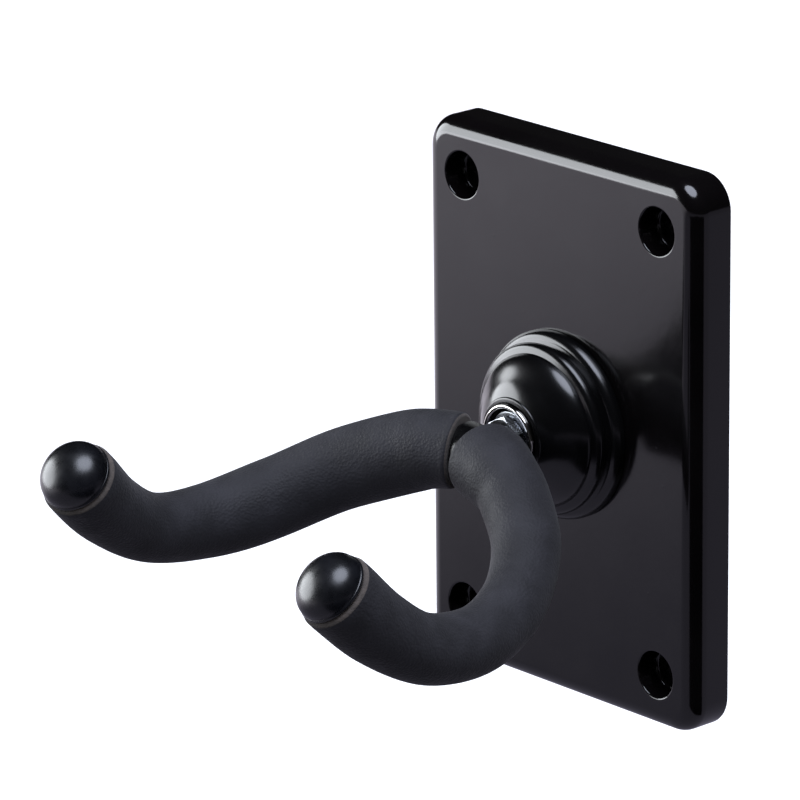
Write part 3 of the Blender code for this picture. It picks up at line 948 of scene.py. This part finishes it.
@dataclass
class PaddedArm:
    """Foam sleeve over one arm and the domed cap on its end."""

    arm: Arm
    foam_radii_mm: tuple[float, ...]
    tilt: Matrix
    bore_r: float = 5.05 * MM
    cut_edge_r: float = 1.2 * MM
    cut_ease: float = 13 * MM
    cap_r: float = 9.2 * MM
    flange_r: float = 9.5 * MM
    cap_rim: float = 1.4 * MM
    cap_dome: float = 6.5 * MM
    rod_tip: float = 5.2 * MM
    sides: int = 72

    def radius(self, share: float) -> float:
        """Foam radius at a share of the arm's length, eased between its stations."""
        place = share * (len(self.foam_radii_mm) - 1)
        index = min(int(place), len(self.foam_radii_mm) - 2)
        ease = (1 - math.cos(math.pi * (place - index))) / 2
        return (self.foam_radii_mm[index] * (1 - ease) + self.foam_radii_mm[index + 1] * ease) * MM

    def rings(self) -> tuple[Rings, Rings, Rings]:
        """Rings of the sleeve's outside.

        Returns:
            The rings along the skin, and those round the near and the far cut edge, each from its cut.
        """
        frames = cross_frames(self.arm.path(14), self.arm.inner_cut(), self.arm.tip(), ease=self.cut_ease)
        last = len(frames) - 1
        edge = self.cut_edge_r
        skin = [(place, self.radius(i / last)) for i, place in enumerate(frames)]
        near, far = [], []
        for step in range(6):
            angle = math.radians(90 * step / 6)
            inset, back = edge * (1 - math.sin(angle)), edge * (1 - math.cos(angle))
            near.append((frames[0] @ Matrix.Translation((0, 0, back)), skin[0][1] - inset))
            far.append((frames[-1] @ Matrix.Translation((0, 0, -back)), skin[-1][1] - inset))
        return skin, near, far

    def sleeve(self) -> Object:
        """The foam tube with its two knife-cut ends."""
        skin, near, far = self.rings()
        line_step = (skin[1][0].translation - skin[0][0].translation).length
        keep = max(1, math.ceil(self.cut_edge_r / line_step))
        bore = [(place, self.bore_r) for place, _ in skin[::-4]]
        dish = 0.25 * MM
        (near_cut, near_r), (far_cut, far_r) = skin[0], skin[-1]
        loops = [*near, *skin[keep:-keep], *far[::-1],
                 (far_cut @ Matrix.Translation((0, 0, -dish)), (far_r + self.bore_r) / 2), *bore,
                 (near_cut @ Matrix.Translation((0, 0, dish)), (near_r + self.bore_r) / 2)]
        bm = swept(loops, self.sides, closed=True)
        self.paint_cuts(bm, near_cut, far_cut)
        self.unevenness(bm)
        obj = new_object(f"{self.arm.side.word}_foam_tube", moved(bm, self.tilt), sharp=60)
        dress(obj, Body.YOKE, [FOAM_SKIN, CUT_FOAM], f"{self.arm.side.word}_foam_sleeve")
        return obj

    def paint_cuts(self, bm: BMesh, near: Matrix, far: Matrix) -> None:
        """Give both cut ends the cut foam's finish: the near one's flat face, and the far one's edge too.
        The near end's rounded edge keeps the darker skin finish as painted shade, for the shadow that end
        sits in beside the knuckle.
        """
        reach = 11 * MM
        for face in bm.faces:
            middle = face.calc_center_median()
            # Painted shade: only the near end's flat face takes the cut foam, so its rounded edge stays in
            # the darker skin finish.
            for place, depth in ((near, 0.3 * self.cut_edge_r), (far, 1.05 * self.cut_edge_r)):
                local = place.inverted() @ middle
                if abs(local.z) < depth and local.xy.length < reach:
                    face.material_index = 1

    def unevenness(self, bm: BMesh) -> None:
        """Slight lumps in the skin, which foam pulled over a bent rod always has."""
        lump = 0.12 * MM
        wave = 14 * MM
        bm.normal_update()
        for vert in bm.verts:
            if all(face.material_index == 0 for face in vert.link_faces):
                vert.co += vert.normal * lump * noise.noise(vert.co / wave)

    def cap(self) -> Object:
        """Domed cap that closes the foam and grips the rod's tip."""
        socket_end = self.rod_tip + GAP
        lip = (self.cap_rim - GAP) / 2
        profile = [(self.bore_r, GAP), *arc((self.flange_r - lip, GAP + lip), lip, -90, 75, 10)]
        crease = 0.05 * MM
        profile += [(self.cap_r + crease, self.cap_rim - crease), (self.cap_r, self.cap_rim)]
        quarter = [math.radians(90 * i / 20) for i in range(1, 20)]
        profile += [(self.cap_r * math.cos(a), self.cap_rim + self.cap_dome * math.sin(a)) for a in quarter]
        profile += [(0.0, self.cap_rim + self.cap_dome), (0.0, socket_end), (self.bore_r, socket_end)]
        turn = Vector((0, -1, 0)).rotation_difference(self.arm.tip()).to_matrix().to_4x4()
        place = self.tilt @ Matrix.Translation(self.arm.points()[-1]) @ turn
        piece = new_object(f"{self.arm.side.word}_vinyl_cap", moved(spun(profile, 96), place), sharp=50)
        return dress(piece, Body.YOKE, [MOULDED_VINYL], f"{self.arm.side.word}_end_cap")

    def build(self) -> list[Object]:
        """Make the sleeve and its cap."""
        return [self.sleeve(), self.cap()]


# ==== Studio ====


@dataclass(frozen=True)
class Softbox:
    """One oval studio light, aimed at the hanger."""

    name: str
    azimuth: float
    elevation: float
    distance: float
    width: float
    height: float
    radiance: float
    colour: str
    lights_matt: bool = True

    def build(self, aim: Vector) -> Object:
        """Hang the light and aim it.

        Args:
            aim: The point that it faces.

        Returns:
            The light.
        """
        lamp = bpy.data.lights.new(self.name, "AREA")
        lamp.shape = "ELLIPSE"
        lamp.size, lamp.size_y = self.width, self.height
        lamp.energy = self.radiance * math.pi * math.pi / 4 * self.width * self.height
        lamp.color = linear(self.colour)[:3]
        obj = bpy.data.objects.new(self.name, lamp)
        bpy.context.scene.collection.objects.link(obj)
        back = direction(self.azimuth, self.elevation)
        obj.location = aim + back * self.distance
        obj.rotation_euler = back.to_track_quat("Z", "Y").to_euler()
        obj.visible_camera = False
        obj.visible_diffuse = self.lights_matt
        return obj


def direction(azimuth: float, elevation: float) -> Vector:
    """Unit vector towards a place round the hanger: azimuth 0 is in front, 90 is at its right."""
    a, e = math.radians(azimuth), math.radians(elevation)
    return Vector((math.sin(a) * math.cos(e), -math.cos(a) * math.cos(e), math.sin(e)))


@dataclass
class Studio:
    """Pale floor, two cards that only show in reflections, two soft lights and the camera."""

    aim: Vector
    floor_z: float = -0.26
    floor_size: float = 12.0
    camera_azimuth: float = 48.02
    camera_elevation: float = 18.10
    camera_roll: float = -0.61
    camera_distance: float = 1.5736
    camera_right: float = -40.66 * MM
    camera_up: float = 6.12 * MM
    lens_mm: float = 275.1
    softboxes: tuple[Softbox, ...] = (
        Softbox("side_softbox", -58, 10, 1.2, 1.20, 0.84, 9.0, "#f6faff", lights_matt=False),
        Softbox("overhead_softbox", 48, 72, 1.1, 0.84, 0.84, 8.5, "#e6edff"),
    )

    def sheet(self, name: str, x: float, y: float, half: float, lift: float) -> tuple[Object, Node]:
        """Lay a flat square of matt paper on the studio's floor.

        Args:
            name: The sheet's name.
            x: Its middle, to the right.
            y: Its middle, away from the room.
            half: Half its side.
            lift: Its height above the floor.

        Returns:
            The sheet and its paper's shader.
        """
        bm = bmesh.new()
        bmesh.ops.create_grid(bm, x_segments=1, y_segments=1, size=half,
                              matrix=Matrix.Translation((x, y, self.floor_z + lift)))
        sheet = new_object(name, bm)
        paper = bpy.data.materials.new(f"{name}_paper")
        paper.use_nodes = True
        sheet.data.materials.append(paper)
        sheet.visible_diffuse = False
        return sheet, paper.node_tree.nodes["Principled BSDF"]

    def floor(self) -> None:
        """Pale matt floor below the hanger."""
        _, shader = self.sheet("studio_floor", 0, 0, self.floor_size / 2, 0)
        shader.inputs["Base Color"].default_value = linear("#f4f4f4")
        shader.inputs["Roughness"].default_value = 0.9
        shader.inputs["Specular IOR Level"].default_value = 0.1

    def card(self, sheet: tuple[Object, Node], near: str, far: str) -> None:
        """Make a sheet a matt card, which only shows in reflections.

        Args:
            sheet: The sheet and its paper's shader.
            near: Its colour near the hanger.
            far: The colour that it fades to at the far left.
        """
        card, shader = sheet
        tree = shader.id_data
        place = add_node(tree, "ShaderNodeTexCoord").outputs["Object"]
        axes = add_node(tree, "ShaderNodeSeparateXYZ", {"Vector": place})
        share = add_node(tree, "ShaderNodeMapRange",
                         {"Value": axes.outputs["X"], "From Min": -0.32, "From Max": -0.92},
                         interpolation_type="SMOOTHSTEP")
        blend = add_node(tree, "ShaderNodeMix",
                         {"Factor": share.outputs["Result"], 6: linear(near), 7: linear(far)},
                         data_type="RGBA")
        tree.links.new(blend.outputs[2], shader.inputs["Base Color"])
        shader.inputs["Roughness"].default_value = 1.0
        shader.inputs["Specular IOR Level"].default_value = 0.0
        card.visible_camera = False
        card.visible_shadow = False

    def world(self) -> None:
        """Soft even fill for matt surfaces, and a dark room for reflections."""
        world = bpy.data.worlds.new("studio_room")
        bpy.context.scene.world = world
        world.use_nodes = True
        tree = world.node_tree
        tree.nodes.clear()
        path = add_node(tree, "ShaderNodeLightPath")
        room = add_node(tree, "ShaderNodeBackground", {"Color": linear("#ffffff"), "Strength": 0.012})
        towards = add_node(tree, "ShaderNodeTexCoord").outputs["Generated"]
        axes = add_node(tree, "ShaderNodeSeparateXYZ", {"Vector": towards})
        sky = add_node(tree, "ShaderNodeMapRange",
                       {"Value": axes.outputs["Z"], "From Min": -0.25, "From Max": 0.8,
                        "To Min": 0.03, "To Max": 1.7})
        fill = add_node(tree, "ShaderNodeBackground",
                        {"Color": linear("#f4f6ff"), "Strength": sky.outputs["Result"]})
        backdrop = add_node(tree, "ShaderNodeBackground", {"Color": linear("#ffffff"), "Strength": 1.0})
        lit = add_node(tree, "ShaderNodeMixShader",
                       {"Fac": path.outputs["Is Diffuse Ray"], 1: room.outputs[0], 2: fill.outputs[0]})
        seen = add_node(tree, "ShaderNodeMixShader",
                        {"Fac": path.outputs["Is Camera Ray"], 1: lit.outputs[0], 2: backdrop.outputs[0]})
        add_node(tree, "ShaderNodeOutputWorld", {"Surface": seen.outputs[0]})

    def camera(self, face: float) -> Object:
        """Long lens from the front right, a little above.

        Args:
            face: Distance of the plate's front face from the wall.

        Returns:
            The camera.
        """
        data = bpy.data.cameras.new("studio_camera")
        data.lens = self.lens_mm
        data.clip_end = 50
        back = direction(self.camera_azimuth, self.camera_elevation)
        roll = Matrix.Rotation(math.radians(self.camera_roll), 3, "Z")
        turn = back.to_track_quat("Z", "Y").to_matrix() @ roll
        obj = bpy.data.objects.new("studio_camera", data)
        bpy.context.scene.collection.objects.link(obj)
        stand = Vector((self.camera_right, self.camera_up, self.camera_distance))
        obj.matrix_world = Matrix.Translation(Vector((0, -face, 0)) + turn @ stand) @ turn.to_4x4()
        bpy.context.scene.camera = obj
        return obj

    def build(self, face: float) -> None:
        """Set up the whole studio."""
        self.floor()
        self.card(self.sheet("grey_card", 0.0, 0.0, self.floor_size / 2, 1 * MM), "#726e76", "#f2eaee")
        self.card(self.sheet("black_card", 1.1, -0.85, 0.9, 2 * MM), "#050505", "#050505")
        self.world()
        for softbox in self.softboxes:
            softbox.build(self.aim)
        self.camera(face)
        bpy.context.scene.view_settings.view_transform = "Standard"


def main() -> None:
    """Build the hanger from its plate outwards, then the studio round it."""
    logging.basicConfig(level=logging.INFO, format="%(name)s: %(message)s")
    plate = BackPlate()
    face = plate.depth
    arms = {side: Arm(side, face) for side in Side}
    yoke = Yoke(arms)
    plate.build()
    Boss(face).build()
    Swivel().build()
    yoke.build()
    PaddedArm(arms[Side.LEFT], (10.0, 10.8, 10.4, 9.0, 10.1), yoke.tilt).build()
    PaddedArm(arms[Side.RIGHT], (10.5, 9.1, 8.5, 8.9, 10.1), yoke.tilt).build()
    Studio(aim=Vector((0, -0.05, 0))).build(face)


if __name__ == "__main__":
    main()
